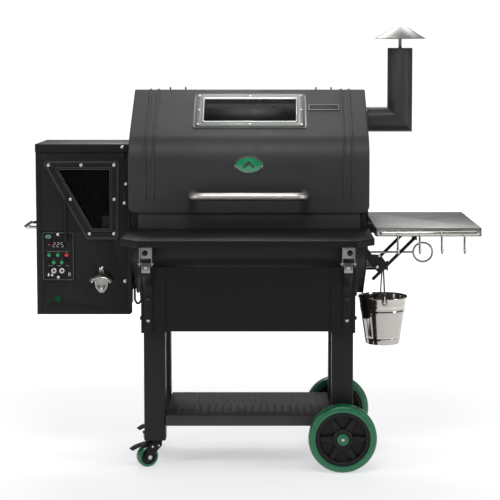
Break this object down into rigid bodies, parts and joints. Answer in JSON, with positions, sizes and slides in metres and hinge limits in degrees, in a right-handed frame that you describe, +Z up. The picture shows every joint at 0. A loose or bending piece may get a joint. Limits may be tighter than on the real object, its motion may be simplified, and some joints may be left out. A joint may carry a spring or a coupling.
{
  "type": "pellet smoker grill",
  "caption": "Hexagonal-barrel pellet smoker grill on a wheeled cart, with side pellet hopper, folding front and side shelves, chimney, windowed lid and hanging grease bucket.",
  "frame": {"origin": "on the ground, at the centre of the part's overall box", "axes": "+Z up, +X to the user's right (hopper on -X, side shelf on +X), -Y towards the user"},
  "size_m": [1.3598, 0.774, 1.317],
  "materials": {
    "black_coat": "charcoal-black powder coat, satin, fine texture",
    "lid_coat": "charcoal powder coat, satin",
    "stainless": "brushed, satin",
    "polished_steel": "polished",
    "dark_glass": "tempered, dark",
    "cast_iron": "seasoned, matt",
    "galvanised": "zinc plated",
    "tyre_green": "moulded, glossy",
    "black_plastic": "moulded, satin",
    "button_green": "moulded, glossy",
    "button_red": "moulded, glossy"
  },
  "bodies": {
    "cart": {"barrel_shell": "black_coat", "end_panel_left": "black_coat", "end_panel_right": "black_coat", "cooking_grate": "cast_iron", "drip_tray": "galvanised", "fire_pot": "cast_iron", "auger_motor": "galvanised", "chimney_pipe": "black_coat", "leg_front_left": "black_coat", "leg_front_right": "black_coat", "leg_rear_left": "black_coat", "leg_rear_right": "black_coat", "cradle": "black_coat", "bottom_shelf": "black_coat", "wheel_axle": "stainless", "shelf_arm_left": "black_coat", "shelf_arm_right": "black_coat", "strut_bracket": "black_coat", "drain_spout": "stainless", "hopper_body": "black_coat", "hopper_window_frame": "black_coat", "hopper_glass": "dark_glass", "control_panel": "black_plastic", "bottle_opener": "stainless", "hopper_handle": "polished_steel", "antenna": "black_plastic", "sensor_lead": "black_plastic"},
    "lid": {"lid": "lid_coat", "lid_window_frame": "stainless", "lid_glass": "dark_glass", "lid_handle": "stainless"},
    "chimney_cap": {"chimney_cap": "stainless"},
    "front_shelf": {"front_shelf": "black_coat", "shelf_channel_left": "stainless", "shelf_channel_right": "stainless"},
    "side_shelf": {"side_shelf": "stainless", "side_rail": "stainless"},
    "side_strut": {"side_strut": "black_coat"},
    "heat_shield": {"heat_shield": "stainless"},
    "bucket_bail": {"bucket_bail": "stainless"},
    "bucket": {"bucket": "polished_steel"},
    "wheel_front": {"tyre_front": "tyre_green", "rim_front": "black_plastic"},
    "wheel_rear": {"tyre_rear": "tyre_green", "rim_rear": "black_plastic"},
    "hopper_lid": {"hopper_lid": "black_coat"},
    "auger": {"auger": "galvanised"},
    "combustion_fan": {"combustion_fan": "black_plastic"},
    "caster_fork_front": {"caster_fork_front": "black_plastic"},
    "caster_wheel_front": {"caster_wheel_front": "tyre_green"},
    "caster_brake_front": {"caster_brake_front": "black_plastic"},
    "caster_fork_rear": {"caster_fork_rear": "black_plastic"},
    "caster_wheel_rear": {"caster_wheel_rear": "tyre_green"},
    "caster_brake_rear": {"caster_brake_rear": "black_plastic"},
    "button_up": {"button_up": "button_green"},
    "button_down": {"button_down": "button_green"},
    "button_stop": {"button_stop": "button_red"},
    "button_fan": {"button_fan": "button_green"},
    "button_probe": {"button_probe": "button_green"},
    "power_button": {"power_button": "button_green"}
  },
  "joints": [
    {"name": "lid_hinge", "type": "hinge", "parent": "cart", "child": "lid", "pos_m": [0.004, 0.211, 1.112], "axis": [-1, 0, 0], "range_deg": [0, 80]},
    {"name": "chimney_cap_height", "type": "slide", "parent": "cart", "child": "chimney_cap", "axis": [0, 0, 1], "range_m": [-0.015, 0.02]},
    {"name": "front_shelf_fold", "type": "hinge", "parent": "cart", "child": "front_shelf", "pos_m": [0, -0.111, 0.63], "axis": [1, 0, 0], "range_deg": [0, 90]},
    {"name": "side_shelf_fold", "type": "hinge", "parent": "cart", "child": "side_shelf", "pos_m": [0.364, 0.147, 0.722], "axis": [0, 1, 0], "range_deg": [0, 8]},
    {"name": "side_strut_pivot", "type": "hinge", "parent": "side_shelf", "child": "side_strut", "pos_m": [0.488, 0.067, 0.697], "axis": [0, 1, 0], "range_deg": [-6, 0.5]},
    {"name": "heat_shield_slide", "type": "slide", "parent": "cart", "child": "heat_shield", "axis": [1, 0, 0], "range_m": [-0.13, 0.03]},
    {"name": "bail_swing", "type": "hinge", "parent": "cart", "child": "bucket_bail", "pos_m": [0.41, 0.147, 0.588], "axis": [1, 0, 0], "range_deg": [-15, 15]},
    {"name": "bucket_swing", "type": "hinge", "parent": "bucket_bail", "child": "bucket", "pos_m": [0.41, 0.147, 0.486], "axis": [0, 1, 0], "range_deg": [-15, 2]},
    {"name": "wheel_front_spin", "type": "hinge", "parent": "cart", "child": "wheel_front", "pos_m": [0.279, -0.051, 0.1016], "axis": [0, 1, 0], "continuous": true},
    {"name": "wheel_rear_spin", "type": "hinge", "parent": "cart", "child": "wheel_rear", "pos_m": [0.279, 0.345, 0.1016], "axis": [0, 1, 0], "continuous": true},
    {"name": "caster_swivel_front", "type": "hinge", "parent": "cart", "child": "caster_fork_front", "pos_m": [-0.281, 0.023, 0.076], "axis": [0, 0, 1], "continuous": true},
    {"name": "caster_spin_front", "type": "hinge", "parent": "caster_fork_front", "child": "caster_wheel_front", "pos_m": [-0.30417, 0.0112, 0.03175], "axis": [0.454, -0.891, 0], "continuous": true},
    {"name": "caster_brake_front", "type": "hinge", "parent": "caster_fork_front", "child": "caster_brake_front", "pos_m": [-0.30684, 0.00983, 0.069], "axis": [0.454, -0.891, 0], "range_deg": [0, 10]},
    {"name": "caster_swivel_rear", "type": "hinge", "parent": "cart", "child": "caster_fork_rear", "pos_m": [-0.281, 0.271, 0.076], "axis": [0, 0, 1], "continuous": true},
    {"name": "caster_spin_rear", "type": "hinge", "parent": "caster_fork_rear", "child": "caster_wheel_rear", "pos_m": [-0.30417, 0.2592, 0.03175], "axis": [0.454, -0.891, 0], "continuous": true},
    {"name": "caster_brake_rear", "type": "hinge", "parent": "caster_fork_rear", "child": "caster_brake_rear", "pos_m": [-0.30684, 0.25783, 0.069], "axis": [0.454, -0.891, 0], "range_deg": [0, 10]},
    {"name": "hopper_lid_hinge", "type": "hinge", "parent": "cart", "child": "hopper_lid", "pos_m": [-0.49, 0.27, 0.943], "axis": [-1, 0, 0], "range_deg": [0, 100]},
    {"name": "button_up_press", "type": "slide", "parent": "cart", "child": "button_up", "axis": [0, 1, 0], "range_m": [0, 0.0015], "stiffness_N_per_m": 300},
    {"name": "button_down_press", "type": "slide", "parent": "cart", "child": "button_down", "axis": [0, 1, 0], "range_m": [0, 0.0015], "stiffness_N_per_m": 300},
    {"name": "button_stop_press", "type": "slide", "parent": "cart", "child": "button_stop", "axis": [0, 1, 0], "range_m": [0, 0.0015], "stiffness_N_per_m": 300},
    {"name": "button_fan_press", "type": "slide", "parent": "cart", "child": "button_fan", "axis": [0, 1, 0], "range_m": [0, 0.0015], "stiffness_N_per_m": 300},
    {"name": "button_probe_press", "type": "slide", "parent": "cart", "child": "button_probe", "axis": [0, 1, 0], "range_m": [0, 0.0015], "stiffness_N_per_m": 300},
    {"name": "power_button_press", "type": "slide", "parent": "cart", "child": "power_button", "axis": [0, 1, 0], "range_m": [0, 0.002], "stiffness_N_per_m": 400},
    {"name": "auger_spin", "type": "hinge", "parent": "cart", "child": "auger", "pos_m": [-0.48, 0.147, 0.56], "axis": [1, 0, 0], "continuous": true},
    {"name": "fan_spin", "type": "hinge", "parent": "cart", "child": "combustion_fan", "pos_m": [-0.6105, 0.217, 0.5], "axis": [1, 0, 0], "continuous": true}
  ],
  "couplings": [
    {"joint": "side_strut_pivot", "follows": "side_shelf_fold", "ratio": -0.62}
  ]
}
